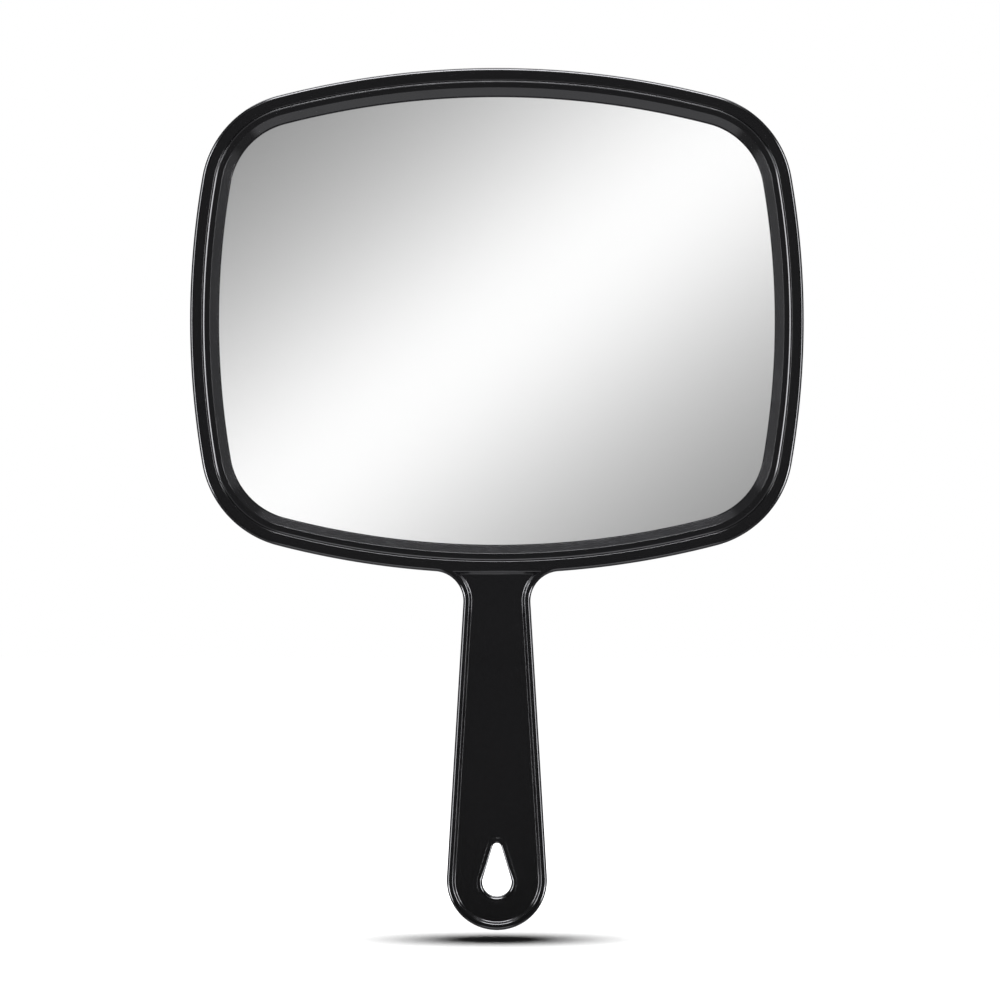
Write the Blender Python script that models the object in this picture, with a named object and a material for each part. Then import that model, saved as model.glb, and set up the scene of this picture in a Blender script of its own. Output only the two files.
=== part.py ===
"""Salon hand mirror: a moulded two-shell casing with a bezel ring, glass, foam pad and adhesive strips.

The mirror stands upright: +Z runs from the handle's end to the head, +X to the right, and the glass
faces -Y. The origin is the middle of the grip. Lengths are in millimetres, and MM turns them into metres
where a shape is made. An inset is a distance inwards from the casing's outer outline, and a depth is a
place along Y.
"""

import math

import bmesh
import bpy
from mathutils import Matrix, Vector

MM = 0.001
GAP = 0.3  # clearance between pieces that rest on each other
PARTING = 0.3  # clearance between the casing's two halves
CHORD_ERROR = 0.08  # how far a facet may stray from its arc
BEYOND = 4.0  # how far a cutter runs past what it cuts
OVERRUN = 0.1  # the same for a cutter's leaning wall

# Outline of the head: four long arcs joined by four tangent corner arcs
LENGTH = 262.0
HEAD_HALF_WIDTH = 93.25
HEAD_HALF_HEIGHT = 76.8
HEAD_TOP_RADIUS = 266.0
HEAD_SIDE_RADIUS = 257.0
HEAD_CORNER_RADIUS = 31.0

# Outline of the handle: a round end, straight sides that taper to the neck, and a fillet to the head
GRIP_HEIGHT = 55.0
HANDLE_END_RADIUS = 15.25
NECK_HALF_WIDTH = 10.25
NECK_HEIGHT = 98.7
NECK_FILLET = 9.1
FILLET_STEPS = 7

# Depth of the casing and its walls
THICKNESS = 11.0
FRONT_EDGE_RADIUS = 1.2
BACK_EDGE_RADIUS = 1.6
EDGE_STEPS = 2
WALL = 2.2  # round the head, and behind it
HANDLE_WALL = 2.4
FRAME_FLANGE = 1.8
BAND = 3.7  # width of the band round the head
JOINT_CHAMFER = 0.4  # on both sides of the joint between frame and bezel ring

# Sunken panel on each face of the handle, with walls at 45 degrees
PANEL_MARGIN = 1.7
BACK_PANEL_MARGIN = 2.6
PANEL_DEPTH = 0.9
PANEL_TOP_HEIGHT = 109.1

# Teardrop hanging hole, and the tube round it, whose rim stands proud of the panels
HOLE_RADIUS = 4.45
HOLE_HEIGHT = 14.5
HOLE_TIP_RADIUS = 1.4
HOLE_TIP_HEIGHT = 25.1
TUBE_WALL = 1.6
COLLAR = 0.4

# Tongue of the rear cover, which lies in a rebate of the front frame
TONGUE_INSET = 1.25
TONGUE_WIDTH = 1.3
TONGUE_HEIGHT = 1.2
TONGUE_CLEARANCE = 0.3

# Locating pins and ribs inside the handle
PIN_RADIUS = 1.5
PIN_HEIGHTS = (44.0, 76.0)
PIN_TIP = -1.4
SOCKET_CLEARANCE = 0.3
SOCKET_WALL = 1.5
RIB_WIDTH = 1.4
RIB_TOP = 0.5
RIB_HEIGHTS = (36.0, 60.0, 88.0)

# Bezel ring
BEZEL_INNER_INSET = 8.7
BEZEL_BAND_END = 6.0
SLOPE_DEPTH = 2.2
LIP_LAND = 0.3  # flat strip between the slope and the glass
BEZEL_FLANGE_INSET = 2.6
BEZEL_FLANGE = 1.0
SKIRT_INSET = 4.2
SKIRT_WALL = 1.4

# Stack behind the bezel ring's lip
GLASS_INSET = 6.0
GLASS_THICKNESS = 2.0
SEAMED_EDGE = 0.2
BACKING_THICKNESS = 0.2
FOAM_INSET = 6.6
FOAM_THICKNESS = 1.7
TAPE_THICKNESS = 0.3
TAPE_WIDTH = 14.0
TAPE_LENGTH = 90.0
SIDE_TAPE_LENGTH = 60.0
TAPE_OFFSET_X = 62.0
TAPE_OFFSET_Z = 46.0

# Heights above the handle's end, as places along Z
END_Z = -GRIP_HEIGHT
HEAD_Z = END_Z + LENGTH - HEAD_HALF_HEIGHT
NECK_Z = END_Z + NECK_HEIGHT
PANEL_TOP_Z = END_Z + PANEL_TOP_HEIGHT
HOLE_Z = END_Z + HOLE_HEIGHT
HOLE_TIP_Z = END_Z + HOLE_TIP_HEIGHT
PIN_Z = [END_Z + height for height in PIN_HEIGHTS]
RIB_Z = [END_Z + height for height in RIB_HEIGHTS]

# Depths, from front to back
FRONT = -THICKNESS / 2
BACK = THICKNESS / 2
HEAD_INNER = FRONT + FRAME_FLANGE
HANDLE_INNER_FRONT = FRONT + PANEL_DEPTH + HANDLE_WALL
HANDLE_INNER_BACK = BACK - PANEL_DEPTH - HANDLE_WALL
COVER_INNER = BACK - WALL
BEZEL_FLANGE_FRONT = HEAD_INNER + GAP
BEZEL_FLANGE_BACK = BEZEL_FLANGE_FRONT + BEZEL_FLANGE
GLASS_FRONT = BEZEL_FLANGE_BACK + GAP
GLASS_BACK = GLASS_FRONT + GLASS_THICKNESS
BACKING_FRONT = GLASS_BACK + GAP
FOAM_FRONT = BACKING_FRONT + BACKING_THICKNESS + GAP
TAPE_FRONT = COVER_INNER - GAP - TAPE_THICKNESS
SOCKET_RADIUS = PIN_RADIUS + SOCKET_CLEARANCE


# --- Outlines: closed loops of (x, z) points ------------------------------------------------------------


def arc(centre, radius, start, end, inset=0, count=None):
    """Points on an arc, both ends included. An inset makes it smaller, with as many points as before."""
    if count is None:
        finest = 2 * math.acos(1 - CHORD_ERROR / radius)
        count = 2 * math.ceil(abs(end - start) / finest / 2)
    angles = [start + (end - start) * i / count for i in range(count + 1)]
    return [centre + (radius - inset) * Vector((math.cos(a), math.sin(a))) for a in angles]


def angle_of(way):
    return math.atan2(way.y, way.x)


def circles_meet(first, first_radius, second, second_radius):
    """Where two circles cross, on the right of the way from the first centre to the second."""
    way = second - first
    along = (first_radius**2 - second_radius**2 + way.length_squared) / (2 * way.length)
    across = math.sqrt(first_radius**2 - along**2)
    ahead = way.normalized()
    return first + along * ahead + across * Vector((ahead.y, -ahead.x))


def line_meets_circle(start, ahead, centre, radius):
    """The first point where a line in the unit direction ahead enters a circle."""
    to_centre = centre - start
    along = to_centre.dot(ahead)
    missed_by = to_centre.length_squared - along**2
    return start + (along - math.sqrt(radius**2 - missed_by)) * ahead


def flipped(points):
    """The same points mirrored in the centre line, in the order that carries a loop on."""
    return [Vector((-p.x, p.y)) for p in reversed(points)]


def closed_loop(right_half):
    """A whole outline from its half at +X, which starts and ends on the centre line."""
    points = right_half + flipped(right_half)
    return [p for i, p in enumerate(points) if (p - points[i - 1]).length > 1e-4]


# The centres of the arcs
HEAD_TOP_CENTRE = Vector((0, HEAD_Z + HEAD_HALF_HEIGHT - HEAD_TOP_RADIUS))
HEAD_BOTTOM_CENTRE = Vector((0, HEAD_Z - HEAD_HALF_HEIGHT + HEAD_TOP_RADIUS))
HEAD_SIDE_CENTRE = Vector((HEAD_HALF_WIDTH - HEAD_SIDE_RADIUS, HEAD_Z))
UPPER_CORNER_CENTRE = circles_meet(
    HEAD_TOP_CENTRE,
    HEAD_TOP_RADIUS - HEAD_CORNER_RADIUS,
    HEAD_SIDE_CENTRE,
    HEAD_SIDE_RADIUS - HEAD_CORNER_RADIUS,
)
LOWER_CORNER_CENTRE = Vector((UPPER_CORNER_CENTRE.x, 2 * HEAD_Z - UPPER_CORNER_CENTRE.y))
HANDLE_END_CENTRE = Vector((0, END_Z + HANDLE_END_RADIUS))

# Angles where the arcs join, counted from +X
TOP_JOIN = angle_of(UPPER_CORNER_CENTRE - HEAD_TOP_CENTRE)
SIDE_JOIN = angle_of(UPPER_CORNER_CENTRE - HEAD_SIDE_CENTRE)
TO_NECK = Vector((NECK_HALF_WIDTH, NECK_Z)) - HANDLE_END_CENTRE
TAPER = angle_of(TO_NECK) - math.acos(HANDLE_END_RADIUS / TO_NECK.length)
FILLET_CENTRE = line_meets_circle(
    HANDLE_END_CENTRE + (HANDLE_END_RADIUS + NECK_FILLET) * Vector((math.cos(TAPER), math.sin(TAPER))),
    Vector((-math.sin(TAPER), math.cos(TAPER))),
    HEAD_BOTTOM_CENTRE,
    HEAD_TOP_RADIUS + NECK_FILLET,
)
FILLET_JOIN = angle_of(HEAD_BOTTOM_CENTRE - FILLET_CENTRE)


def head_sides(inset):
    """The head's right side from its top centre to the end of the lower corner."""
    return (
        arc(HEAD_TOP_CENTRE, HEAD_TOP_RADIUS, math.pi / 2, TOP_JOIN, inset)
        + arc(UPPER_CORNER_CENTRE, HEAD_CORNER_RADIUS, TOP_JOIN, SIDE_JOIN, inset)
        + arc(HEAD_SIDE_CENTRE, HEAD_SIDE_RADIUS, SIDE_JOIN, -SIDE_JOIN, inset)
        + arc(LOWER_CORNER_CENTRE, HEAD_CORNER_RADIUS, -SIDE_JOIN, -TOP_JOIN, inset)
    )


def head_outline(inset):
    """The head alone, moved inwards."""
    bottom = arc(HEAD_BOTTOM_CENTRE, HEAD_TOP_RADIUS, -TOP_JOIN, -math.pi / 2, inset)
    return closed_loop(head_sides(inset) + bottom)


def handle_sides(inset, fillet_start):
    """The handle's right side from the given angle on the neck fillet to the end's centre."""
    fillet = arc(FILLET_CENTRE, NECK_FILLET, fillet_start, math.pi + TAPER, -inset, FILLET_STEPS)
    return fillet + arc(HANDLE_END_CENTRE, HANDLE_END_RADIUS, TAPER, -math.pi / 2, inset)


def casing_outline(inset):
    """Head and handle in one, moved inwards."""
    bottom = arc(HEAD_BOTTOM_CENTRE, HEAD_TOP_RADIUS, -TOP_JOIN, FILLET_JOIN - math.pi, inset)
    return closed_loop(head_sides(inset) + bottom + handle_sides(inset, FILLET_JOIN))


def panel_outline(inset):
    """The handle's panel, whose straight top edge is as far in as its sides."""
    top = PANEL_TOP_Z + PANEL_MARGIN - inset
    start = math.pi - math.asin((top - FILLET_CENTRE.y) / (NECK_FILLET + inset))
    return closed_loop([Vector((0, top))] + handle_sides(inset, start))


def teardrop_outline(margin):
    """The hanging hole, moved outwards by the margin."""
    slant = math.asin((HOLE_RADIUS - HOLE_TIP_RADIUS) / (HOLE_TIP_Z - HOLE_Z))
    tip = arc(Vector((0, HOLE_TIP_Z)), HOLE_TIP_RADIUS + margin, math.pi / 2, slant)
    return closed_loop(tip + arc(Vector((0, HOLE_Z)), HOLE_RADIUS + margin, slant, -math.pi / 2))


# --- Making and cutting solids --------------------------------------------------------------------------


def new_collection(name, hidden=False):
    collection = bpy.data.collections.new(name)
    collection.hide_render = hidden
    bpy.context.scene.collection.children.link(collection)
    return collection


def material(name, colour, roughness, metallic=0.0):
    made = bpy.data.materials.new(name)
    made.use_nodes = True
    shader = made.node_tree.nodes["Principled BSDF"]
    shader.inputs["Base Color"].default_value = (*colour, 1)
    shader.inputs["Roughness"].default_value = roughness
    shader.inputs["Metallic"].default_value = metallic
    made.diffuse_color = (*colour, 1)
    return made


def flat_curve(name, outlines):
    """A 2D curve object in the XZ plane, with one closed spline for each outline."""
    data = bpy.data.curves.new(name, "CURVE")
    data.dimensions = "2D"
    for outline in outlines:
        spline = data.splines.new("POLY")
        spline.points.add(len(outline) - 1)
        for point, place in zip(spline.points, outline):
            point.co = (place.x * MM, place.y * MM, 0, 1)
        spline.use_cyclic_u = True
    made = bpy.data.objects.new(name, data)
    made.rotation_euler.x = math.pi / 2
    bpy.context.scene.collection.objects.link(made)
    return made


def meshed(curve_object, collection):
    """Replaces a curve object with a mesh object in the collection, its caps welded on."""
    bpy.context.view_layer.update()
    graph = bpy.context.evaluated_depsgraph_get()
    mesh = bpy.data.meshes.new_from_object(curve_object.evaluated_get(graph))
    shape = bmesh.new()
    shape.from_mesh(mesh)
    bmesh.ops.remove_doubles(shape, verts=shape.verts, dist=1e-3 * MM)
    bmesh.ops.recalc_face_normals(shape, faces=shape.faces)
    shape.to_mesh(mesh)
    shape.free()
    name = curve_object.name
    place = curve_object.matrix_world.copy()
    bpy.data.objects.remove(curve_object)
    made = bpy.data.objects.new(name, mesh)
    made.matrix_world = place
    collection.objects.link(made)
    return made


def plate(name, outlines, front, back, collection, edge=0.0, edge_steps=0):
    """A flat solid between two depths; edge chamfers its rim inside the outline, or rounds it in steps."""
    made = flat_curve(name, outlines)
    made.location.y = (front + back) / 2 * MM
    made.data.fill_mode = "BOTH"
    made.data.extrude = ((back - front) / 2 - edge) * MM
    made.data.bevel_depth = edge * MM
    made.data.bevel_resolution = edge_steps
    made.data.offset = -edge * MM
    return meshed(made, collection)


def lofted(name, outline_of, sections, collection):
    """A solid whose outline is outline_of(inset) at each section's depth, from the first to the last."""
    shape = bmesh.new()
    rims = []
    for inset, depth in sections:
        outline = outline_of(inset)
        rims.append([shape.verts.new((p.x * MM, depth * MM, p.y * MM)) for p in outline])
    for outer, inner in zip(rims, rims[1:]):
        for i in range(len(outer)):
            shape.faces.new((outer[i - 1], outer[i], inner[i], inner[i - 1]))
    shape.faces.new(rims[0])
    shape.faces.new(rims[-1])
    bmesh.ops.recalc_face_normals(shape, faces=shape.faces)
    mesh = bpy.data.meshes.new(name)
    shape.to_mesh(mesh)
    shape.free()
    made = bpy.data.objects.new(name, mesh)
    collection.objects.link(made)
    return made


def sunken_panel(name, margin, face, outwards, collection):
    """A cutter for the handle's panel in the given face; outwards is -1 in front and 1 behind."""
    sections = (
        (margin - OVERRUN, face + outwards * BEYOND),
        (margin - OVERRUN, face + outwards * OVERRUN),
        (margin + PANEL_DEPTH, face - outwards * PANEL_DEPTH),
    )
    return lofted(name, panel_outline, sections, collection)


def swept_ring(name, outline, section, collection):
    """A closed ring: the section's points are (distance inwards from the outline, depth)."""
    profile = bpy.data.curves.new(name + "_section", "CURVE")
    spline = profile.splines.new("POLY")
    spline.points.add(len(section) - 1)
    for point, (inwards, depth) in zip(spline.points, section):
        point.co = (inwards * MM, -depth * MM, 0, 1)
    spline.use_cyclic_u = True
    profile_object = bpy.data.objects.new(profile.name, profile)
    bpy.context.scene.collection.objects.link(profile_object)
    path = flat_curve(name, [outline])
    path.data.fill_mode = "NONE"
    path.data.bevel_mode = "OBJECT"
    path.data.bevel_object = profile_object
    made = meshed(path, collection)
    bpy.data.objects.remove(profile_object)
    return made


def moved_primitive(name, centre, collection):
    """Names the primitive just added, puts it at a centre in millimetres and keeps it in the collection."""
    made = bpy.context.active_object
    made.name = name
    made.location = Vector(centre) * MM
    for other in list(made.users_collection):
        other.objects.unlink(made)
    collection.objects.link(made)
    return made


def box(name, low, high, collection):
    bpy.ops.mesh.primitive_cube_add(size=1)
    low, high = Vector(low), Vector(high)
    bpy.context.active_object.data.transform(Matrix.Diagonal(((high - low) * MM).to_4d()))
    return moved_primitive(name, (low + high) / 2, collection)


def rod(name, radius, height, front, back, collection):
    """A cylinder along Y on the handle's centre line, at a height in the row."""
    bpy.ops.mesh.primitive_cylinder_add(vertices=24, radius=radius * MM, depth=(back - front) * MM)
    bpy.context.active_object.data.transform(Matrix.Rotation(math.pi / 2, 4, "X"))
    return moved_primitive(name, (0, (front + back) / 2, height), collection)


def change(target, operation, others):
    """Boolean modifiers, one for each of the others. The exact solver leaves gaps in these long thin rims."""
    for other in others:
        modifier = target.modifiers.new(other.name, "BOOLEAN")
        modifier.operation = operation
        modifier.solver = "MANIFOLD"
        modifier.object = other
        other.display_type = "WIRE"
        other.hide_render = True


def finish(piece, finish_material):
    piece.data.materials.clear()
    piece.data.materials.append(finish_material)
    piece.data.shade_smooth()
    piece.data.set_sharp_from_angle(angle=math.radians(30))


# --- The pieces -----------------------------------------------------------------------------------------


def front_frame(parts, cutters, abs_plastic):
    """The casing's front half: the band round the head, and the handle's front."""
    piece = plate(
        "front_frame", [casing_outline(0)], FRONT, BACK, parts, FRONT_EDGE_RADIUS, EDGE_STEPS
    )
    back_half = box(
        "front_frame_back_half", (-LENGTH, -PARTING / 2, -LENGTH), (LENGTH, LENGTH, LENGTH), cutters
    )
    cavity = plate("front_cavity", [casing_outline(HANDLE_WALL)], HANDLE_INNER_FRONT, BEYOND, cutters)
    head_cavity = plate("front_head_cavity", [head_outline(WALL)], HEAD_INNER, BEYOND, cutters)
    rebate = plate(
        "tongue_rebate",
        [casing_outline(TONGUE_INSET - TONGUE_CLEARANCE)],
        -TONGUE_HEIGHT - TONGUE_CLEARANCE,
        BEYOND,
        cutters,
    )
    window_sections = (
        (BAND - JOINT_CHAMFER - OVERRUN, FRONT - BEYOND),
        (BAND - JOINT_CHAMFER - OVERRUN, FRONT - OVERRUN),
        (BAND, FRONT + JOINT_CHAMFER),
        (BAND, 0),
    )
    window = lofted("window", head_outline, window_sections, cutters)
    panel = sunken_panel("front_panel", PANEL_MARGIN, FRONT, -1, cutters)
    change(piece, "DIFFERENCE", [back_half, cavity, head_cavity, rebate, window, panel])
    tube = plate(
        "front_tube",
        [teardrop_outline(TUBE_WALL)],
        FRONT + PANEL_DEPTH - COLLAR,
        -PARTING / 2,
        cutters,
        COLLAR,
    )
    sockets = [
        rod("socket", SOCKET_RADIUS + SOCKET_WALL, z, HANDLE_INNER_FRONT - 1, -PARTING / 2, cutters)
        for z in PIN_Z
    ]
    change(piece, "UNION", [tube] + sockets)
    hole = plate("front_hole", [teardrop_outline(0)], FRONT - BEYOND, BEYOND, cutters)
    bores = [
        rod("socket_bore", SOCKET_RADIUS, z, PIN_TIP - SOCKET_CLEARANCE, BEYOND, cutters)
        for z in PIN_Z
    ]
    change(piece, "DIFFERENCE", [hole] + bores)
    finish(piece, abs_plastic)


def rear_cover(parts, cutters, abs_plastic):
    """The casing's back half, with the tongue, pins and ribs that the front half meets."""
    piece = plate(
        "rear_cover", [casing_outline(0)], FRONT, BACK, parts, BACK_EDGE_RADIUS, EDGE_STEPS
    )
    front_half = box(
        "rear_cover_front_half", (-LENGTH, -LENGTH, -LENGTH), (LENGTH, PARTING / 2, LENGTH), cutters
    )
    cavity = plate("rear_cavity", [casing_outline(HANDLE_WALL)], -BEYOND, HANDLE_INNER_BACK, cutters)
    head_cavity = plate("rear_head_cavity", [head_outline(WALL)], -BEYOND, COVER_INNER, cutters)
    panel = sunken_panel("back_panel", BACK_PANEL_MARGIN, BACK, 1, cutters)
    change(piece, "DIFFERENCE", [front_half, cavity, head_cavity, panel])
    tongue = plate(
        "tongue",
        [casing_outline(TONGUE_INSET), casing_outline(TONGUE_INSET + TONGUE_WIDTH)],
        -TONGUE_HEIGHT,
        HANDLE_INNER_BACK - 1,
        cutters,
    )
    tube = plate(
        "rear_tube",
        [teardrop_outline(TUBE_WALL)],
        PARTING / 2,
        BACK - PANEL_DEPTH + COLLAR,
        cutters,
        COLLAR,
    )
    pins = [rod("pin", PIN_RADIUS, z, PIN_TIP, HANDLE_INNER_BACK + 1, cutters) for z in PIN_Z]
    ribs = [cross_rib(z, cutters) for z in RIB_Z]
    change(piece, "UNION", [tongue, tube] + pins + ribs)
    hole = plate("rear_hole", [teardrop_outline(0)], -BEYOND, BACK + BEYOND, cutters)
    change(piece, "DIFFERENCE", [hole])
    finish(piece, abs_plastic)


def cross_rib(height, cutters):
    """A rib across the handle's hollow, which ends inside its side walls."""
    above_end_centre = height - HANDLE_END_CENTRE.y
    half_width = (HANDLE_END_RADIUS - above_end_centre * math.sin(TAPER)) / math.cos(TAPER)
    reach = half_width - HANDLE_WALL / 2
    return box(
        "rib",
        (-reach, RIB_TOP, height - RIB_WIDTH / 2),
        (reach, HANDLE_INNER_BACK + 1, height + RIB_WIDTH / 2),
        cutters,
    )


def bezel_ring(parts, abs_plastic):
    """The ring that shows a band and a slope, and holds the glass under its lip and inside its skirt."""
    section = [
        (BAND + GAP + JOINT_CHAMFER, FRONT),
        (BEZEL_BAND_END, FRONT),
        (BEZEL_INNER_INSET - LIP_LAND, FRONT + SLOPE_DEPTH),
        (BEZEL_INNER_INSET, FRONT + SLOPE_DEPTH),
        (BEZEL_INNER_INSET, BEZEL_FLANGE_BACK),
        (SKIRT_INSET + SKIRT_WALL, BEZEL_FLANGE_BACK),
        (SKIRT_INSET + SKIRT_WALL, COVER_INNER - GAP),
        (SKIRT_INSET, COVER_INNER - GAP),
        (SKIRT_INSET, BEZEL_FLANGE_BACK),
        (BEZEL_FLANGE_INSET, BEZEL_FLANGE_BACK),
        (BEZEL_FLANGE_INSET, BEZEL_FLANGE_FRONT),
        (BAND + GAP, BEZEL_FLANGE_FRONT),
        (BAND + GAP, FRONT + JOINT_CHAMFER),
    ]
    finish(swept_ring("bezel_ring", head_outline(0), section, parts), abs_plastic)


def mirror_glass(parts):
    piece = plate(
        "mirror_glass", [head_outline(GLASS_INSET)], GLASS_FRONT, GLASS_BACK, parts, SEAMED_EDGE
    )
    finish(piece, material("glass", (0.9, 0.93, 0.92), 0.02))


def silver_backing(parts):
    back = BACKING_FRONT + BACKING_THICKNESS
    piece = plate("silver_backing", [head_outline(GLASS_INSET)], BACKING_FRONT, back, parts)
    finish(piece, material("silver_coat", (0.9, 0.9, 0.9), 0.05, 1.0))


def foam_pad(parts):
    piece = plate(
        "foam_pad", [head_outline(FOAM_INSET)], FOAM_FRONT, FOAM_FRONT + FOAM_THICKNESS, parts
    )
    finish(piece, material("foam", (0.75, 0.75, 0.72), 0.9))


def tape_strips(parts):
    """Two strips lie across the head, above and below its centre, and two stand beside it."""
    adhesive = material("adhesive", (0.8, 0.76, 0.62), 0.6)
    lying = (TAPE_LENGTH / 2, TAPE_WIDTH / 2)
    standing = (TAPE_WIDTH / 2, SIDE_TAPE_LENGTH / 2)
    strips = (
        ("tape_top", 0, TAPE_OFFSET_Z, lying),
        ("tape_bottom", 0, -TAPE_OFFSET_Z, lying),
        ("tape_left", -TAPE_OFFSET_X, 0, standing),
        ("tape_right", TAPE_OFFSET_X, 0, standing),
    )
    for name, x, z, (half_x, half_z) in strips:
        low = (x - half_x, TAPE_FRONT, HEAD_Z + z - half_z)
        high = (x + half_x, TAPE_FRONT + TAPE_THICKNESS, HEAD_Z + z + half_z)
        finish(box(name, low, high, parts), adhesive)


def main():
    for thing in list(bpy.data.objects):
        bpy.data.objects.remove(thing)
    parts = new_collection("hand_mirror")
    cutters = new_collection("cutters", hidden=True)
    abs_plastic = material("black_abs", (0.012, 0.012, 0.013), 0.12)
    front_frame(parts, cutters, abs_plastic)
    bezel_ring(parts, abs_plastic)
    mirror_glass(parts)
    silver_backing(parts)
    foam_pad(parts)
    tape_strips(parts)
    rear_cover(parts, cutters, abs_plastic)


main()
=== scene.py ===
"""Looks of the salon hand mirror: smooth moulded shells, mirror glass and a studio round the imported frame.

The mirror stands upright: +Z runs from the handle's end to the head, and the glass faces -Y. The origin is
the middle of the grip. An inset is a distance inwards from the casing's outer outline, or from the outline
named, and a depth is a place along Y. Lengths are in metres.
"""

import math

import bmesh
import bpy
from mathutils import Matrix, Vector


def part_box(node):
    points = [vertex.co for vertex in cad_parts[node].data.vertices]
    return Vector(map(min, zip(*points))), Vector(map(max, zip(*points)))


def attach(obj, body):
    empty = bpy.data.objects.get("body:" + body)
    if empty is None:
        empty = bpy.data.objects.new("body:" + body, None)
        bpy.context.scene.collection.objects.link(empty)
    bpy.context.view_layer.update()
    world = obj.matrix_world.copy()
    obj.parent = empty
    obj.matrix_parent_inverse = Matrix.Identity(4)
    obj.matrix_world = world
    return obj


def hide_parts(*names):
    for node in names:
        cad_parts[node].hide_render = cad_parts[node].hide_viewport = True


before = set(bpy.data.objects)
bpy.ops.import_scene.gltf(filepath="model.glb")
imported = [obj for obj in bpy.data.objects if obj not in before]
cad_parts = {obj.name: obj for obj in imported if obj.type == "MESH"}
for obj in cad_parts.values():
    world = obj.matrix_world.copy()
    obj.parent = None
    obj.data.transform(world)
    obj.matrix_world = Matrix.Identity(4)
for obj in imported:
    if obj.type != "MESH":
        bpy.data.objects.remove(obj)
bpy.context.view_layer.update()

MM = 0.001
FINE_CHORD = 0.004 * MM  # how far a facet may stray from its arc
ROUND_STEP = math.radians(11)  # one facet of a rounded edge
GUARD = 0.05 * MM  # a strip beside each rounded edge that keeps the flat next to it flat
WELD = 0.001 * MM
SHARP = math.radians(28)  # edges that turn more than this stay crisp

# Places and sizes from the frame
FRAME_LOW, FRAME_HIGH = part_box("front_frame")
COVER_LOW, COVER_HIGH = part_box("rear_cover")
BEZEL_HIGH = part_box("bezel_ring")[1]
GLASS_LOW, GLASS_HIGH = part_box("mirror_glass")
FOAM_LOW, FOAM_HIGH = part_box("foam_pad")
END_Z = FRAME_LOW.z
HEAD_Z = (GLASS_LOW.z + GLASS_HIGH.z) / 2
HEAD_HALF_WIDTH = FRAME_HIGH.x
HEAD_HALF_HEIGHT = FRAME_HIGH.z - HEAD_Z
GLASS_INSET = HEAD_HALF_WIDTH - GLASS_HIGH.x
FOAM_INSET = HEAD_HALF_WIDTH - FOAM_HIGH.x
BEZEL_FLANGE_INSET = HEAD_HALF_WIDTH - BEZEL_HIGH.x
FRONT = FRAME_LOW.y
BACK = COVER_HIGH.y
FRAME_PARTING = FRAME_HIGH.y
COVER_PARTING = -FRAME_PARTING
TONGUE_TOP = COVER_LOW.y
SKIRT_END = BEZEL_HIGH.y
GAP = 0.3 * MM

# Radii of the outline's arcs
HEAD_TOP_RADIUS = 266 * MM
HEAD_SIDE_RADIUS = 257 * MM
HEAD_CORNER_RADIUS = 31 * MM
HANDLE_END_RADIUS = 15.25 * MM
NECK_FILLET = 9.1 * MM
NECK_HALF_WIDTH = 10.25 * MM
NECK_Z = END_Z + 98.7 * MM

# Casing: rounded edges, walls and the joint between its halves
FRONT_EDGE = 1.1 * MM
BACK_EDGE = 1.6 * MM
PARTING_EDGE = 0.15 * MM
WALL = 2.2 * MM
HANDLE_WALL = 2.4 * MM
BAND = 3.7 * MM
BAND_LIP = 0.25 * MM
FLANGE_DEPTH = 1.8 * MM
TONGUE_INSET = 1.25 * MM

# The handle's sunken panels. Their walls lean at 45 degrees, and their roundings grow towards both ends.
PANEL_MARGIN = 1.7 * MM
BACK_PANEL_MARGIN = 2.6 * MM
PANEL_DEPTH = 0.9 * MM
PANEL_SIDE_EDGE = 0.25 * MM  # radii of the wall's edge and foot on the handle's straight sides
PANEL_SIDE_FOOT = 0.15 * MM
PANEL_END_EDGE = 0.6 * MM  # the same round the end and at the neck
PANEL_END_FOOT = 0.6 * MM
PANEL_BLEND = 5 * MM  # the length over which one becomes the other
PANEL_REACH = PANEL_END_EDGE * math.tan(math.pi / 8) + 2 * GUARD  # from a corner past its rounding
PANEL_TOP_Z = END_Z + 109.1 * MM
NECK_STEPS = 24  # facets of the panel's arc at the neck

# The teardrop hanging hole, and the tube round it, whose rim stands a little proud of the panels
HOLE_RADIUS = 4.45 * MM
HOLE_Z = END_Z + 14.5 * MM
HOLE_TIP_RADIUS = 1.4 * MM
HOLE_TIP_Z = END_Z + 25.1 * MM
HOLE_SIDE_LIP = 0.6 * MM  # radii of the lip above the handle's round end, and within it
HOLE_END_LIP = 1.1 * MM
HOLE_SIDE_STEPS = 12  # facets along each straight side, where the lip's radius changes
TUBE_WALL = 1.6 * MM
COLLAR = 0.08 * MM  # how far the rim stands proud
COLLAR_EDGE = 0.03 * MM

# Bezel ring
BEZEL_CHAMFER = 0.36 * MM
BEZEL_CHAMFER_DEPTH = 0.18 * MM
BEZEL_BAND_END = 6.0 * MM
BEZEL_RIDGE = 0.12 * MM
BEZEL_INNER_INSET = 8.7 * MM
BEZEL_SLOPE_DEPTH = 2.2 * MM
BEZEL_LAND = 0.3 * MM
BEZEL_CRISP = 0.05 * MM
BEZEL_UNDERCUT = 0.1 * MM
BEZEL_FLANGE = 1.0 * MM
SKIRT_INSET = 4.2 * MM
SKIRT_WALL = 1.4 * MM

# Glass and foam
SEAMED_EDGE = 0.2 * MM
FOAM_EDGE = 0.6 * MM


# --- Outlines: closed loops of (x, z) points ------------------------------------------------------------


def arc(centre, radius, start, end, inset=0.0, count=None):
    """Points on an arc, both ends included. An inset makes it smaller, with as many points as before."""
    if count is None:
        finest = 2 * math.acos(1 - FINE_CHORD / radius)
        count = 2 * math.ceil(abs(end - start) / finest / 2)
    angles = [start + (end - start) * i / count for i in range(count + 1)]
    return [centre + (radius - inset) * Vector((math.cos(a), math.sin(a))) for a in angles]


def angle_of(way):
    return math.atan2(way.y, way.x)


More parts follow.
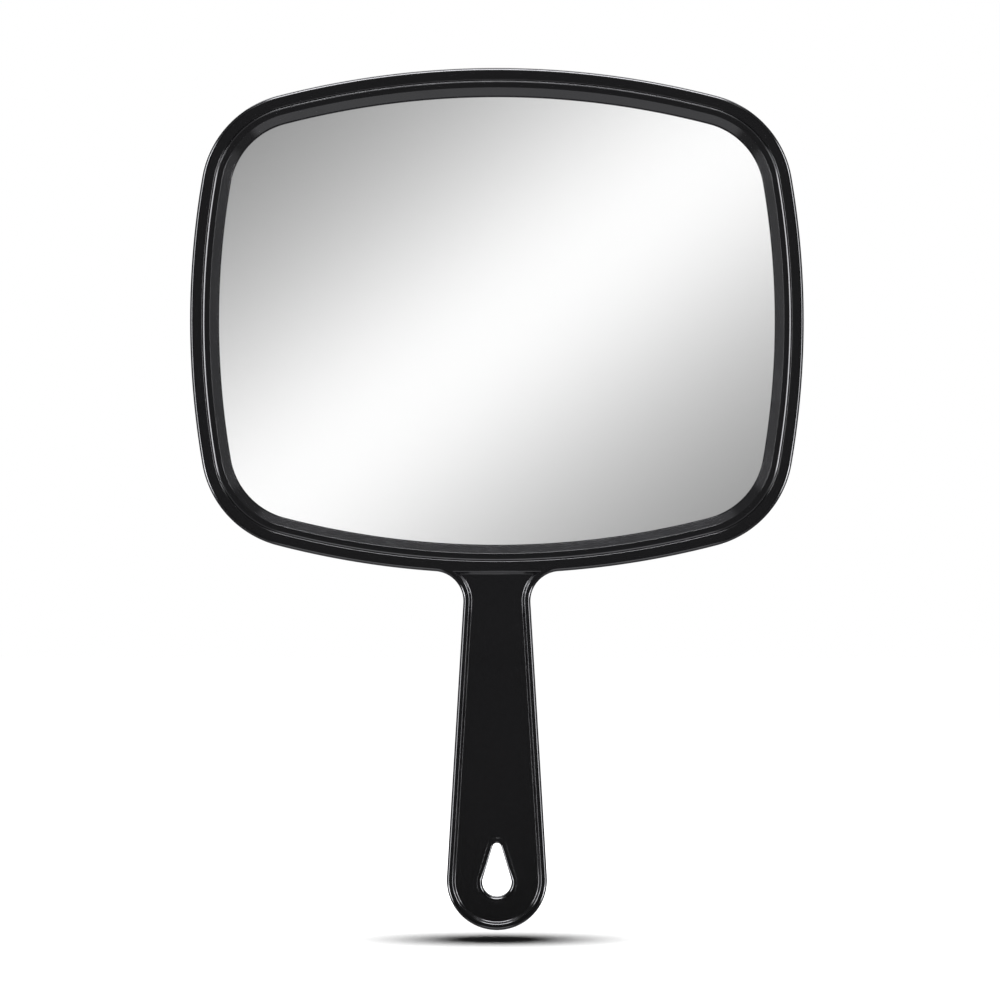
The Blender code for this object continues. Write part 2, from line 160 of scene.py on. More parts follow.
def circles_meet(first, first_radius, second, second_radius):
    """Where two circles cross, on the right of the way from the first centre to the second."""
    way = second - first
    along = (first_radius**2 - second_radius**2 + way.length_squared) / (2 * way.length)
    across = math.sqrt(first_radius**2 - along**2)
    ahead = way.normalized()
    return first + along * ahead + across * Vector((ahead.y, -ahead.x))


def line_meets_circle(start, ahead, centre, radius):
    """The first point where a line in the unit direction ahead enters a circle."""
    to_centre = centre - start
    along = to_centre.dot(ahead)
    missed_by = to_centre.length_squared - along**2
    return start + (along - math.sqrt(radius**2 - missed_by)) * ahead


def closed_loop(right_half):
    """A whole outline from its half at +X, which starts and ends on the centre line."""
    left_half = [Vector((-p.x, p.y)) for p in reversed(right_half)]
    points = right_half + left_half
    return [p for i, p in enumerate(points) if (p - points[i - 1]).length > WELD]


HEAD_TOP_CENTRE = Vector((0, HEAD_Z + HEAD_HALF_HEIGHT - HEAD_TOP_RADIUS))
HEAD_BOTTOM_CENTRE = Vector((0, HEAD_Z - HEAD_HALF_HEIGHT + HEAD_TOP_RADIUS))
HEAD_SIDE_CENTRE = Vector((HEAD_HALF_WIDTH - HEAD_SIDE_RADIUS, HEAD_Z))
UPPER_CORNER_CENTRE = circles_meet(
    HEAD_TOP_CENTRE,
    HEAD_TOP_RADIUS - HEAD_CORNER_RADIUS,
    HEAD_SIDE_CENTRE,
    HEAD_SIDE_RADIUS - HEAD_CORNER_RADIUS,
)
LOWER_CORNER_CENTRE = Vector((UPPER_CORNER_CENTRE.x, 2 * HEAD_Z - UPPER_CORNER_CENTRE.y))
HANDLE_END_CENTRE = Vector((0, END_Z + HANDLE_END_RADIUS))
TOP_JOIN = angle_of(UPPER_CORNER_CENTRE - HEAD_TOP_CENTRE)
SIDE_JOIN = angle_of(UPPER_CORNER_CENTRE - HEAD_SIDE_CENTRE)
TO_NECK = Vector((NECK_HALF_WIDTH, NECK_Z)) - HANDLE_END_CENTRE
TAPER = angle_of(TO_NECK) - math.acos(HANDLE_END_RADIUS / TO_NECK.length)
FILLET_CENTRE = line_meets_circle(
    HANDLE_END_CENTRE + (HANDLE_END_RADIUS + NECK_FILLET) * Vector((math.cos(TAPER), math.sin(TAPER))),
    Vector((-math.sin(TAPER), math.cos(TAPER))),
    HEAD_BOTTOM_CENTRE,
    HEAD_TOP_RADIUS + NECK_FILLET,
)
FILLET_JOIN = angle_of(HEAD_BOTTOM_CENTRE - FILLET_CENTRE)


def head_sides(inset):
    """The head's right side from its top centre to the end of the lower corner."""
    return (
        arc(HEAD_TOP_CENTRE, HEAD_TOP_RADIUS, math.pi / 2, TOP_JOIN, inset)
        + arc(UPPER_CORNER_CENTRE, HEAD_CORNER_RADIUS, TOP_JOIN, SIDE_JOIN, inset)
        + arc(HEAD_SIDE_CENTRE, HEAD_SIDE_RADIUS, SIDE_JOIN, -SIDE_JOIN, inset)
        + arc(LOWER_CORNER_CENTRE, HEAD_CORNER_RADIUS, -SIDE_JOIN, -TOP_JOIN, inset)
    )


def head_outline(inset):
    """The head alone."""
    bottom = arc(HEAD_BOTTOM_CENTRE, HEAD_TOP_RADIUS, -TOP_JOIN, -math.pi / 2, inset)
    return closed_loop(head_sides(inset) + bottom)


def casing_outline(inset):
    """Head and handle in one."""
    bottom = arc(HEAD_BOTTOM_CENTRE, HEAD_TOP_RADIUS, -TOP_JOIN, FILLET_JOIN - math.pi, inset)
    fillet = arc(FILLET_CENTRE, NECK_FILLET, FILLET_JOIN, math.pi + TAPER, -inset)
    end = arc(HANDLE_END_CENTRE, HANDLE_END_RADIUS, TAPER, -math.pi / 2, inset)
    return closed_loop(head_sides(inset) + bottom + fillet + end)


def panel_outline(inset):
    """The handle's panel, whose straight top edge is as far in as its sides.

    The straight sides have extra points near both ends, where the roundings change.
    """
    top = PANEL_TOP_Z + PANEL_MARGIN - inset
    radius = NECK_FILLET + inset
    start = math.pi - math.asin((top - FILLET_CENTRE.y) / radius)
    fillet = arc(FILLET_CENTRE, radius, start, math.pi + TAPER, count=NECK_STEPS)
    end = arc(HANDLE_END_CENTRE, HANDLE_END_RADIUS, TAPER, -math.pi / 2, inset)
    shares = [percent / 100 for percent in (*range(1, 8), *range(93, 100))]
    straight = [fillet[-1].lerp(end[0], share) for share in shares]
    return closed_loop([Vector((0, top))] + fillet + straight + end)


def teardrop_outline(inset):
    """The hanging hole; an inset below zero lies outside it."""
    slant = math.asin((HOLE_RADIUS - HOLE_TIP_RADIUS) / (HOLE_TIP_Z - HOLE_Z))
    tip = arc(Vector((0, HOLE_TIP_Z)), HOLE_TIP_RADIUS, math.pi / 2, slant, inset)
    bottom = arc(Vector((0, HOLE_Z)), HOLE_RADIUS, slant, -math.pi / 2, inset)
    straight = [tip[-1].lerp(bottom[0], i / HOLE_SIDE_STEPS) for i in range(1, HOLE_SIDE_STEPS)]
    return closed_loop(tip + straight + bottom)


# --- Making smooth closed shells ------------------------------------------------------------------------


def rounded(corners, closed=False):
    """The path through (inset, depth, radius) corners, each rounded to its radius, or sharp if it is 0."""
    path = []
    for i, (inset, depth, radius) in enumerate(corners):
        here = Vector((inset, depth))
        if not radius:
            path.append(here)
            continue
        back = (Vector(corners[i - 1][:2]) - here).normalized()
        ahead = (Vector(corners[(i + 1) % len(corners)][:2]) - here).normalized()
        half = back.angle(ahead) / 2
        reach = radius / math.tan(half)
        centre = here + (back + ahead).normalized() * radius / math.sin(half)
        from_centre = here + back * reach - centre
        turn = math.copysign(math.pi - 2 * half, back.cross(ahead) * -1)
        steps = math.ceil(abs(turn) / ROUND_STEP)
        path.append(here + back * (reach + GUARD))
        for step in range(steps + 1):
            path.append(centre + Matrix.Rotation(turn * step / steps, 2) @ from_centre)
        path.append(here + ahead * (reach + GUARD))
    return path + path[:1] if closed else path


def end_share(z):
    """1 round the handle's end and at its neck, 0 on the straight sides, smooth between them."""
    above_end = (z - HANDLE_END_CENTRE.y) / PANEL_BLEND
    below_neck = (FILLET_CENTRE.y - z) / PANEL_BLEND
    share = min(max(1 - min(above_end, below_neck), 0), 1)
    return share * share * (3 - 2 * share)


def add_skin(shape, outline_of, path, end_path=None):
    """Faces between the outlines at each (inset, depth) of path, or of end_path near the handle's ends."""
    rims = []
    for (side_inset, side_depth), (end_inset, end_depth) in zip(path, end_path or path):
        rim = []
        for p, q in zip(outline_of(side_inset), outline_of(end_inset)):
            side = Vector((p.x, side_depth, p.y))
            end = Vector((q.x, end_depth, q.y))
            rim.append(shape.verts.new(side.lerp(end, end_share(p.y))))
        rims.append(rim)
    for first, second in zip(rims, rims[1:]):
        for i in range(len(first)):
            shape.faces.new((first[i - 1], first[i], second[i], second[i - 1]))


def add_flat(shape, depth, loops):
    """A flat face at one depth, bounded by its first loop and with the other loops as holes."""
    edges = []
    for loop in loops:
        corners = [shape.verts.new((p.x, depth, p.y)) for p in loop]
        edges += [shape.edges.new((corners[i - 1], corners[i])) for i in range(len(corners))]
    bmesh.ops.triangle_fill(shape, use_beauty=True, edges=edges)


def shell(name, skins, flats, node, finish):
    """One closed piece from its skins and flat faces, riding on the frame in place of a CAD node."""
    shape = bmesh.new()
    for skin in skins:
        add_skin(shape, *skin)
    for depth, loops in flats:
        add_flat(shape, depth, loops)
    bmesh.ops.remove_doubles(shape, verts=shape.verts, dist=WELD)
    bmesh.ops.recalc_face_normals(shape, faces=shape.faces)
    mesh = bpy.data.meshes.new(name)
    shape.to_mesh(mesh)
    shape.free()
    mesh.shade_smooth()
    mesh.set_sharp_from_angle(angle=SHARP)
    mesh.materials.append(finish)
    piece = bpy.data.objects.new(name, mesh)
    bpy.context.scene.collection.objects.link(piece)
    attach(piece, "root")
    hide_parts(node)
    return piece


# --- The pieces -----------------------------------------------------------------------------------------


def hole_path(floor, parting, pocket_floor, lip):
    """The hanging hole's rounded lip, its wall, and the outside of the tube round it."""
    top = floor - math.copysign(COLLAR, pocket_floor - floor)
    return rounded(
        [
            (-TUBE_WALL - PANEL_REACH, floor, 0),
            (-TUBE_WALL, floor, COLLAR_EDGE),
            (COLLAR - TUBE_WALL, top, COLLAR_EDGE),
            (0, top, lip),
            (0, parting, PARTING_EDGE),
            (-TUBE_WALL, parting, 0),
            (-TUBE_WALL, pocket_floor, 0),
        ]
    )


def panel_path(margin, face, inwards, edge, foot):
    """The handle panel's wall, with its edge and foot rounded; inwards is 1 in front and -1 behind."""
    floor = face + inwards * PANEL_DEPTH
    return rounded(
        [
            (margin - PANEL_REACH, face, 0),
            (margin, face, edge),
            (margin + PANEL_DEPTH, floor, foot),
            (margin + PANEL_DEPTH + PANEL_REACH, floor, 0),
        ]
    )


def casing_half(face, inwards, parting, joint, edge, margin):
    """The skins and flats that the casing's two halves share. The head's own are still to be added."""
    floor = face + inwards * PANEL_DEPTH
    pocket_floor = floor + inwards * HANDLE_WALL
    joint_inset, joint_depth = joint
    outer = rounded(
        [
            (joint_inset, joint_depth, 0),
            (joint_inset, parting, 0),
            (0, parting, PARTING_EDGE),
            (0, face, edge),
            (edge + 2 * GUARD, face, 0),
        ]
    )
    skins = [
        (casing_outline, outer),
        (
            panel_outline,
            panel_path(margin, face, inwards, PANEL_SIDE_EDGE, PANEL_SIDE_FOOT),
            panel_path(margin, face, inwards, PANEL_END_EDGE, PANEL_END_FOOT),
        ),
        (
            teardrop_outline,
            hole_path(floor, parting, pocket_floor, HOLE_SIDE_LIP),
            hole_path(floor, parting, pocket_floor, HOLE_END_LIP),
        ),
        (panel_outline, [Vector((HANDLE_WALL, joint_depth)), Vector((HANDLE_WALL, pocket_floor))]),
    ]
    flats = [
        (
            floor,
            [
                panel_outline(margin + PANEL_DEPTH + PANEL_REACH),
                teardrop_outline(-TUBE_WALL - PANEL_REACH),
            ],
        ),
        (joint_depth, [casing_outline(joint_inset), head_outline(WALL), panel_outline(HANDLE_WALL)]),
        (pocket_floor, [panel_outline(HANDLE_WALL), teardrop_outline(-TUBE_WALL)]),
    ]
    return skins, flats


def front_frame(finish):
    """The casing's front half: the band round the head, and the handle's front."""
    joint = (TONGUE_INSET - GAP, TONGUE_TOP - GAP)
    skins, flats = casing_half(FRONT, 1, FRAME_PARTING, joint, FRONT_EDGE, PANEL_MARGIN)
    lip = BAND - BAND_LIP - 2 * GUARD
    window = rounded(
        [
            (lip, FRONT, 0),
            (BAND, FRONT, BAND_LIP),
            (BAND, FRONT + FLANGE_DEPTH, 0),
            (WALL, FRONT + FLANGE_DEPTH, 0),
            (WALL, TONGUE_TOP - GAP, 0),
        ]
    )
    skins.append((head_outline, window))
    band = [
        casing_outline(FRONT_EDGE + 2 * GUARD),
        head_outline(lip),
        panel_outline(PANEL_MARGIN - PANEL_REACH),
    ]
    flats.append((FRONT, band))
    shell("front_frame_shell", skins, flats, "front_frame", finish)


def rear_cover(finish):
    """The casing's back half: the flat back of the head, and the handle's back."""
    joint = (TONGUE_INSET, TONGUE_TOP)
    skins, flats = casing_half(BACK, -1, COVER_PARTING, joint, BACK_EDGE, BACK_PANEL_MARGIN)
    skins.append((head_outline, [Vector((WALL, TONGUE_TOP)), Vector((WALL, BACK - WALL))]))
    flats.append((BACK - WALL, [head_outline(WALL)]))
    face = [casing_outline(BACK_EDGE + 2 * GUARD), panel_outline(BACK_PANEL_MARGIN - PANEL_REACH)]
    flats.append((BACK, face))
    shell("rear_cover_shell", skins, flats, "rear_cover", finish)


def bezel_ring(finish):
    """The ring with a flat band and a slope down to the glass, a flange under the frame, and a skirt."""
    flange_back = FRONT + FLANGE_DEPTH + GAP + BEZEL_FLANGE
    slope_end = FRONT + BEZEL_SLOPE_DEPTH
    section = rounded(
        [
            (BAND + GAP, FRONT + BEZEL_CHAMFER_DEPTH, BEZEL_CRISP),
            (BAND + GAP + BEZEL_CHAMFER, FRONT, BEZEL_CRISP),
            (BEZEL_BAND_END, FRONT, BEZEL_RIDGE),
            (BEZEL_INNER_INSET - BEZEL_LAND, slope_end, BEZEL_CRISP),
            (BEZEL_INNER_INSET, slope_end, BEZEL_CRISP),
            (BEZEL_INNER_INSET - BEZEL_UNDERCUT, flange_back, 0),
            (SKIRT_INSET + SKIRT_WALL, flange_back, 0),
            (SKIRT_INSET + SKIRT_WALL, SKIRT_END, 0),
            (SKIRT_INSET, SKIRT_END, 0),
            (SKIRT_INSET, flange_back, 0),
            (BEZEL_FLANGE_INSET, flange_back, 0),
            (BEZEL_FLANGE_INSET, flange_back - BEZEL_FLANGE, 0),
            (BAND + GAP, flange_back - BEZEL_FLANGE, 0),
        ],
        closed=True,
    )
    shell("bezel_ring_shell", [(head_outline, section)], [], "bezel_ring", finish)


def slab(name, inset, front, back, edge, node, finish):
    """A flat sheet in the head's outline, with rounded edges."""
    rim = inset + 2 * edge
    section = rounded([(rim, front, 0), (inset, front, edge), (inset, back, edge), (rim, back, 0)])
    flats = [(front, [head_outline(rim)]), (back, [head_outline(rim)])]
    return shell(name, [(head_outline, section)], flats, node, finish)


# --- Materials ------------------------------------------------------------------------------------------


class Nodes:
    """Adds shader nodes to a tree, each linked to what feeds it."""

    def __init__(self, tree):
        self.tree = tree

    def add(self, kind, **inputs):
        """A node with the inputs named given, each a value or another node's output."""
        made = self.tree.nodes.new(kind)
        for name, value in inputs.items():
            self.feed(made.inputs[name.replace("_", " ")], value)
        return made

    def feed(self, socket, value):
        if isinstance(value, bpy.types.NodeSocket):
            self.tree.links.new(value, socket)
        else:
            socket.default_value = value

    def math(self, operation, *values):
        made = self.tree.nodes.new("ShaderNodeMath")
        made.operation = operation
        for socket, value in zip(made.inputs, values):
            self.feed(socket, value)
        return made.outputs[0]

    def window(self, value, start, end, soft):
        """1 between start and end, falling to 0 over the soft distance outside them."""
        rise = self.ramp(value, start - soft, start)
        fall = self.ramp(value, end + soft, end)
        return self.math("MULTIPLY", rise, fall)

    def ramp(self, value, start, end, low=0.0, high=1.0):
        """From low at start to high at end, smoothly."""
        made = self.tree.nodes.new("ShaderNodeMapRange")
        made.interpolation_type = "SMOOTHSTEP"
        for name, given in (
            ("Value", value),
            ("From Min", start),
            ("From Max", end),
            ("To Min", low),
            ("To Max", high),
        ):
            self.feed(made.inputs[name], given)
        return made.outputs["Result"]

    def length(self, vector):
        made = self.add("ShaderNodeVectorMath", Vector=vector)
        made.operation = "LENGTH"
        return made.outputs["Value"]

    def noise(self, place, scale, detail=2.0):
        made = self.tree.nodes.new("ShaderNodeTexNoise")
        for name, given in (("Vector", place), ("Scale", scale), ("Detail", detail)):
            self.feed(made.inputs[name], given)
        return made.outputs["Fac"]

    def mix(self, share, first, second):
        """One of two colours, or what lies between them."""
        made = self.tree.nodes.new("ShaderNodeMix")
        made.data_type = "RGBA"
        self.feed(made.inputs["Factor"], share)
        first_colour, second_colour = [socket for socket in made.inputs if socket.type == "RGBA"]
        self.feed(first_colour, first)
        self.feed(second_colour, second)
        return next(socket for socket in made.outputs if socket.type == "RGBA")

    def bump(self, height, distance):
        made = self.tree.nodes.new("ShaderNodeBump")
        self.feed(made.inputs["Height"], height)
        made.inputs["Distance"].default_value = distance
        return made.outputs["Normal"]


def new_material(name, **settings):
    """A material's nodes, its shader and where on the object a point lies."""
    made = bpy.data.materials.new(name)
    made.use_nodes = True
    shader = made.node_tree.nodes["Principled BSDF"]
    for setting, value in settings.items():
        shader.inputs[setting.replace("_", " ")].default_value = value
    nodes = Nodes(made.node_tree)
    place = nodes.add("ShaderNodeTexCoord").outputs["Object"]
    return made, nodes, shader, place


def black_abs():
    """Gloss black ABS: faint mould-flow clouds, orange peel in the gloss, and slightly rubbed edges."""
    made, nodes, shader, place = new_material("gloss_black_abs", IOR=1.53)
    clouds = nodes.noise(place, scale=28.0, detail=3.0)
    colour = nodes.mix(clouds, (0.0053, 0.0055, 0.0064, 1), (0.0075, 0.0071, 0.0074, 1))
    nodes.feed(shader.inputs["Base Color"], colour)
    scuffs = nodes.noise(place, scale=260.0, detail=4.0)
    polish = nodes.ramp(scuffs, start=0.3, end=0.7, low=0.07, high=0.13)
    edge = nodes.add("ShaderNodeNewGeometry").outputs["Pointiness"]
    rubbed = nodes.ramp(edge, start=0.52, end=0.6, low=0.0, high=0.05)
    nodes.feed(shader.inputs["Roughness"], nodes.math("ADD", polish, rubbed))
    peel = nodes.noise(place, scale=420.0, detail=1.0)
    nodes.feed(shader.inputs["Normal"], nodes.bump(peel, distance=0.008 * MM))
    return made


def clear_glass():
    """Float glass with a trace of green."""
    made, nodes, shader, place = new_material(
        "float_glass", Roughness=0.0, IOR=1.52, Transmission_Weight=1.0
    )
    streaks = nodes.noise(place, scale=9.0)
    colour = nodes.mix(streaks, (0.995, 0.996, 0.995, 1), (0.998, 0.998, 0.998, 1))
    nodes.feed(shader.inputs["Base Color"], colour)
    return made


def silver_coat():
    """Silver on the back of the glass, very slightly cloudy."""
    made, nodes, shader, place = new_material("silver_coat", Metallic=1.0)
    clouds = nodes.noise(place, scale=14.0)
    colour = nodes.mix(clouds, (0.965, 0.965, 0.965, 1), (0.975, 0.975, 0.975, 1))
    nodes.feed(shader.inputs["Base Color"], colour)
    haze = nodes.noise(place, scale=40.0)
    nodes.feed(shader.inputs["Roughness"], nodes.ramp(haze, start=0.3, end=0.7, low=0.004, high=0.01))
    return made


def foam():
    """Closed-cell foam with small round cells, whose hollows are painted darker as shade."""
    made, nodes, shader, place = new_material("foam", Sheen_Weight=0.15)
    cells = nodes.add("ShaderNodeTexVoronoi", Vector=place, Scale=1400.0).outputs["Distance"]
    # Painted shade: each cell's hollow is coloured darker than its rim, following the bump's height.
    colour = nodes.mix(cells, (0.62, 0.61, 0.58, 1), (0.82, 0.81, 0.77, 1))
    nodes.feed(shader.inputs["Base Color"], colour)
    nodes.feed(shader.inputs["Roughness"], nodes.ramp(cells, start=0.0, end=0.6, low=0.8, high=0.95))
    nodes.feed(shader.inputs["Normal"], nodes.bump(cells, distance=0.1 * MM))
    return made


def adhesive():
    """Double-sided tape: a crinkled yellowish film, painted darker in its dips and lighter on its crests as
    shade and light.
    """
    made, nodes, shader, place = new_material("adhesive_tape", IOR=1.47)
    crinkles = nodes.noise(place, scale=500.0, detail=4.0)
    # Painted shade and light: the colour follows the crinkles' height, darker in the dips and lighter on the
    # crests.
    colour = nodes.mix(crinkles, (0.72, 0.66, 0.48, 1), (0.85, 0.81, 0.66, 1))
    nodes.feed(shader.inputs["Base Color"], colour)
    nodes.feed(shader.inputs["Roughness"], nodes.ramp(crinkles, start=0.3, end=0.7, low=0.35, high=0.6))
    nodes.feed(shader.inputs["Normal"], nodes.bump(crinkles, distance=0.03 * MM))
    return made


# --- The studio -----------------------------------------------------------------------------------------

# Softboxes as gloss sees them: (name, angle round the lens's direction from +X towards +Z, half its spread,
# nearest and furthest angle from that direction, brightness), all angles in degrees
SOFTBOXES = (
    ("top", 90, 20, 61, 75, 26.0),
    ("top_low", 90, 30, 36, 56, 1.2),
    ("top_rim", 90, 30, 100, 150, 2.2),
    ("right", 0, 16, 51, 66, 12.0),
    ("left", 180, 16, 51, 66, 12.0),
    ("upper_right", 22, 9, 60, 72, 23.0),
    ("upper_left", 158, 9, 60, 72, 23.0),
    ("lower_right", -18, 8, 60, 72, 26.0),
    ("lower_left", 198, 8, 60, 72, 26.0),
    ("ring", 0, 190, 48, 58, 0.5),
    ("bottom", 270, 18, 34, 62, 1.6),
    ("top_wash", 90, 32, 76, 98, 0.43),
    ("right_wash", 0, 32, 76, 98, 0.34),
    ("left_wash", 180, 32, 76, 98, 0.47),
    ("bottom_wash", 270, 38, 76, 98, 0.72),
)
SOFT_EDGE = 4
WASH = 0.2  # a faint ring of light, which the slopes reflect
WASH_NEAREST, WASH_FURTHEST = 74, 100
DARK = 0.015  # the rest of the world
LENS_SIDE = 0.15  # what lies behind the camera, as the flats reflect it
LENS_FULL, LENS_EDGE = 12, 24
REAR_SIDE = 0.3  # the same behind the mirror, for its back
REAR_EDGE, REAR_FULL = 110, 150
COOL = 1.04  # how much more blue than red there is in the light
FILL = 0.02  # the dome that lights matt surfaces

# What the mirror shows: a room that grows lighter upwards, and a card near it with a bright slanting line
ROOM_LOW, ROOM_HIGH = 0.3, 0.8
ROOM_BOTTOM, ROOM_TOP = -0.3, 0.7  # steepness of the way looked, as the height of a unit vector
CARD_PEAK = 1.07
CARD_MIDDLE = -2.5 * MM  # how far above the glass's middle the brightest line passes
CARD_SPREAD = 63.4 * MM  # from that line to where it is half as bright
CARD_TURN = math.radians(38)
CARD_DISTANCE = 0.45
CARD_WIDTH = 2.2
CARD_CLEAR = 0.18  # how far from its middle the card starts to fade away

# The floor, and the overhead light whose shadow of an oval flag lies on it
FLOOR_SIZE = 12
FLOOR_DROP = 3.0 * MM  # how far the mirror hangs above the floor
FLOOR_DIM, FLOOR_BRIGHT = 0.1, 0.5  # distances between which the floor starts to glow white by itself
KEY_SIZE = (0.5, 0.72)
KEY_POWER = 17.8
KEY_HEIGHT = 1.1
FLAG_SIZE = (55 * MM, 84 * MM)
FLAG_CORNERS = 32
FLAG_HEIGHT = 80 * MM  # above the handle's end

CAMERA_LENS = 400
SENSOR = 36
FRAME_WIDTH = 303.73 * MM  # what the picture spans at the mirror
CAMERA_ASIDE = 0.94 * MM
CAMERA_Z = 75.7 * MM
CAMERA_DISTANCE = CAMERA_LENS / SENSOR * FRAME_WIDTH


def studio_world():
    """White to the camera, a dim dome to matt surfaces, softboxes to gloss, a plain room to the mirror."""
    world = bpy.data.worlds.new("studio")
    bpy.context.scene.world = world
    world.use_nodes = True
    world.cycles.sampling_method = "NONE"
    nodes = Nodes(world.node_tree)
    way = nodes.add("ShaderNodeSeparateXYZ", Vector=nodes.add("ShaderNodeTexCoord").outputs["Generated"])
    towards_lens = nodes.math("MULTIPLY", way.outputs["Y"], -1)
    from_lens = nodes.math("DEGREES", nodes.math("ARCCOSINE", towards_lens))
    around = nodes.math("DEGREES", nodes.math("ARCTAN2", way.outputs["Z"], way.outputs["X"]))
    light = nodes.ramp(from_lens, start=LENS_EDGE, end=LENS_FULL, low=DARK, high=LENS_SIDE)
    rear = nodes.ramp(from_lens, start=REAR_EDGE, end=REAR_FULL, low=0.0, high=REAR_SIDE)
    light = nodes.math("ADD", light, rear)
    for _, centre, half, nearest, furthest, brightness in SOFTBOXES:
        turned = nodes.math("WRAP", nodes.math("SUBTRACT", around, centre), 180, -180)
        spread = nodes.ramp(nodes.math("ABSOLUTE", turned), half + SOFT_EDGE, half - SOFT_EDGE)
        height = nodes.window(from_lens, nearest, furthest, SOFT_EDGE)
        box = nodes.math("MULTIPLY", spread, height)
        light = nodes.math("MULTIPLY_ADD", box, brightness, light)
    ring = nodes.window(from_lens, WASH_NEAREST, WASH_FURTHEST, SOFT_EDGE)
    light = nodes.math("MULTIPLY_ADD", ring, WASH, light)
    blue = nodes.math("MULTIPLY", light, COOL)
    tinted = nodes.add("ShaderNodeCombineColor", Red=light, Green=light, Blue=blue).outputs["Color"]
    path = nodes.add("ShaderNodeLightPath").outputs
    seen = nodes.mix(path["Is Glossy Ray"], (FILL, FILL, FILL, 1), tinted)
    room = nodes.ramp(way.outputs["Z"], start=ROOM_BOTTOM, end=ROOM_TOP, low=ROOM_LOW, high=ROOM_HIGH)
    seen = nodes.mix(path["Is Transmission Ray"], seen, room)
    colour = nodes.mix(path["Is Camera Ray"], seen, (1, 1, 1, 1))
    nodes.feed(world.node_tree.nodes["Background"].inputs["Color"], colour)


def stage_sheet(name, width, depth, corners, finish):
    """A flat sheet of the given size: a rectangle with four corners, and an oval with many."""
    reach = 1 / math.cos(math.pi / corners)
    turns = [2 * math.pi * (i + 0.5) / corners for i in range(corners)]
    rim = [(math.cos(a) * reach * width / 2, math.sin(a) * reach * depth / 2, 0) for a in turns]
    mesh = bpy.data.meshes.new(name)
    mesh.from_pydata(rim, [], [range(corners)])
    mesh.materials.append(finish)
    made = bpy.data.objects.new(name, mesh)
    bpy.context.scene.collection.objects.link(made)
    return made


def floor():
    """A plain pale floor just under the handle's end."""
    made, nodes, shader, place = new_material(
        "pale_floor", Roughness=0.9, Specular_IOR_Level=0.0, Emission_Color=(1, 1, 1, 1)
    )
    mottle = nodes.noise(place, scale=3.0)
    nodes.feed(shader.inputs["Base Color"], nodes.mix(mottle, (0.9, 0.9, 0.9, 1), (0.92, 0.92, 0.92, 1)))
    glow = nodes.ramp(nodes.length(place), start=FLOOR_DIM, end=FLOOR_BRIGHT)
    nodes.feed(shader.inputs["Emission Strength"], glow)
    plane = stage_sheet("floor", FLOOR_SIZE, FLOOR_SIZE, 4, made)
    plane.location.z = END_Z - FLOOR_DROP
    plane.visible_glossy = False
    plane.visible_transmission = False


def gradient_card():
    """A large card in front, bright along a slanting line, that only the mirror behind its glass shows."""
    made = bpy.data.materials.new("gradient_card")
    made.use_nodes = True
    tree = made.node_tree
    tree.nodes.clear()
    nodes = Nodes(tree)
    place = nodes.add("ShaderNodeTexCoord").outputs["Object"]
    widening = CARD_DISTANCE / CAMERA_DISTANCE
    along_slope = nodes.add("ShaderNodeSeparateXYZ", Vector=place).outputs["Y"]
    from_line = nodes.math("SUBTRACT", along_slope, CARD_MIDDLE)
    shares = nodes.math("DIVIDE", from_line, CARD_SPREAD * (1 + widening))
    falloff = nodes.math("ADD", nodes.math("POWER", shares, 2), 1)
    glow = nodes.math("MAXIMUM", nodes.math("DIVIDE", CARD_PEAK, falloff), ROOM_LOW)
    emission = nodes.add("ShaderNodeEmission", Strength=glow).outputs[0]
    clear = nodes.add("ShaderNodeBsdfTransparent").outputs[0]
    faded = nodes.add("ShaderNodeMixShader")
    there = nodes.ramp(nodes.length(place), start=CARD_WIDTH / 2, end=CARD_CLEAR)
    for socket, value in zip(faded.inputs, (there, clear, emission)):
        nodes.feed(socket, value)
    nodes.add("ShaderNodeOutputMaterial", Surface=faded.outputs[0])
    card = stage_sheet("gradient_card", CARD_WIDTH, CARD_WIDTH, 4, made)
    card.rotation_euler = (math.pi / 2, -CARD_TURN, 0)
    card.location = (-CAMERA_ASIDE * widening, -CARD_DISTANCE, HEAD_Z + (HEAD_Z - CAMERA_Z) * widening)
    card.visible_camera = False
    card.visible_diffuse = False
    card.visible_glossy = False
    card.visible_shadow = False


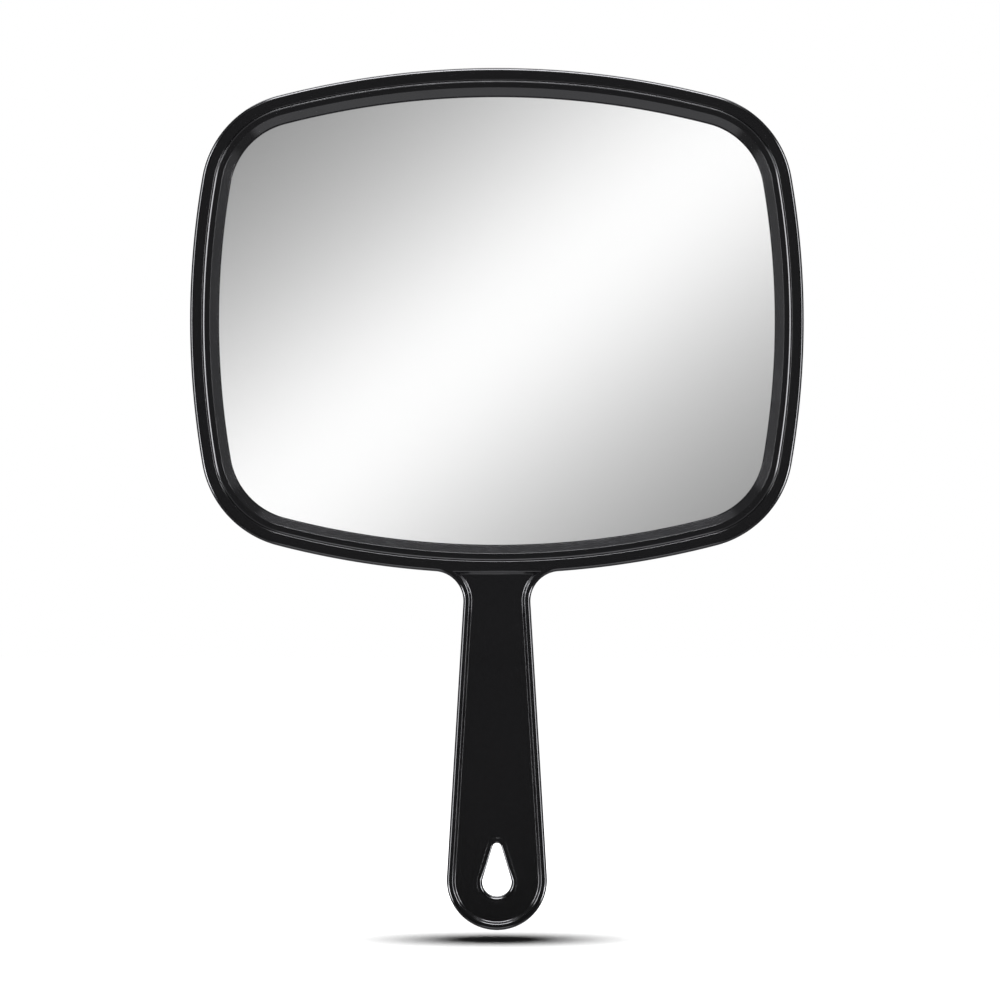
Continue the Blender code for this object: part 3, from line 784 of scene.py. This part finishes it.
def shadow_flag():
    """An oval flag under the key light, seen only as the soft shadow below the handle's end."""
    cloth = new_material("flag_cloth", Roughness=0.9)[0]
    flag = stage_sheet("flag", *FLAG_SIZE, FLAG_CORNERS, cloth)
    flag.location.z = END_Z + FLAG_HEIGHT
    flag.visible_camera = False
    flag.visible_diffuse = False
    flag.visible_glossy = False
    flag.visible_transmission = False
    return flag


def key_light(flag):
    """A softbox overhead, whose only shadow is the flag's."""
    data = bpy.data.lights.new("key", "AREA")
    data.shape = "ELLIPSE"
    data.size, data.size_y = KEY_SIZE
    data.energy = KEY_POWER
    made = bpy.data.objects.new("key", data)
    made.location.z = KEY_HEIGHT
    made.visible_glossy = False
    made.visible_transmission = False
    bpy.context.scene.collection.objects.link(made)
    blockers = bpy.data.collections.new("flags")
    blockers.objects.link(flag)
    made.light_linking.blocker_collection = blockers


def camera():
    """A long lens square to the glass."""
    data = bpy.data.cameras.new("camera")
    data.lens = CAMERA_LENS
    data.sensor_width = SENSOR
    made = bpy.data.objects.new("camera", data)
    made.location = (CAMERA_ASIDE, FRONT - CAMERA_DISTANCE, CAMERA_Z)
    made.rotation_euler.x = math.pi / 2
    bpy.context.scene.collection.objects.link(made)
    bpy.context.scene.camera = made


def main():
    scene = bpy.context.scene
    scene.view_settings.view_transform = "Standard"
    scene.cycles.caustics_reflective = False
    scene.cycles.caustics_refractive = False
    plastic = black_abs()
    front_frame(plastic)
    rear_cover(plastic)
    bezel_ring(plastic)
    slab(
        "glass_pane",
        GLASS_INSET,
        GLASS_LOW.y,
        GLASS_HIGH.y,
        SEAMED_EDGE,
        "mirror_glass",
        clear_glass(),
    )
    sheet = slab(
        "foam_sheet", FOAM_INSET, FOAM_LOW.y, FOAM_HIGH.y, FOAM_EDGE, "foam_pad", foam()
    )
    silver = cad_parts["silver_backing"]
    silver.material_slots[0].material = silver_coat()
    tape = adhesive()
    for name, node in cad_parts.items():
        if name.startswith("tape"):
            node.material_slots[0].material = tape
    studio_world()
    floor()
    gradient_card()
    key_light(shadow_flag())
    camera()


main()
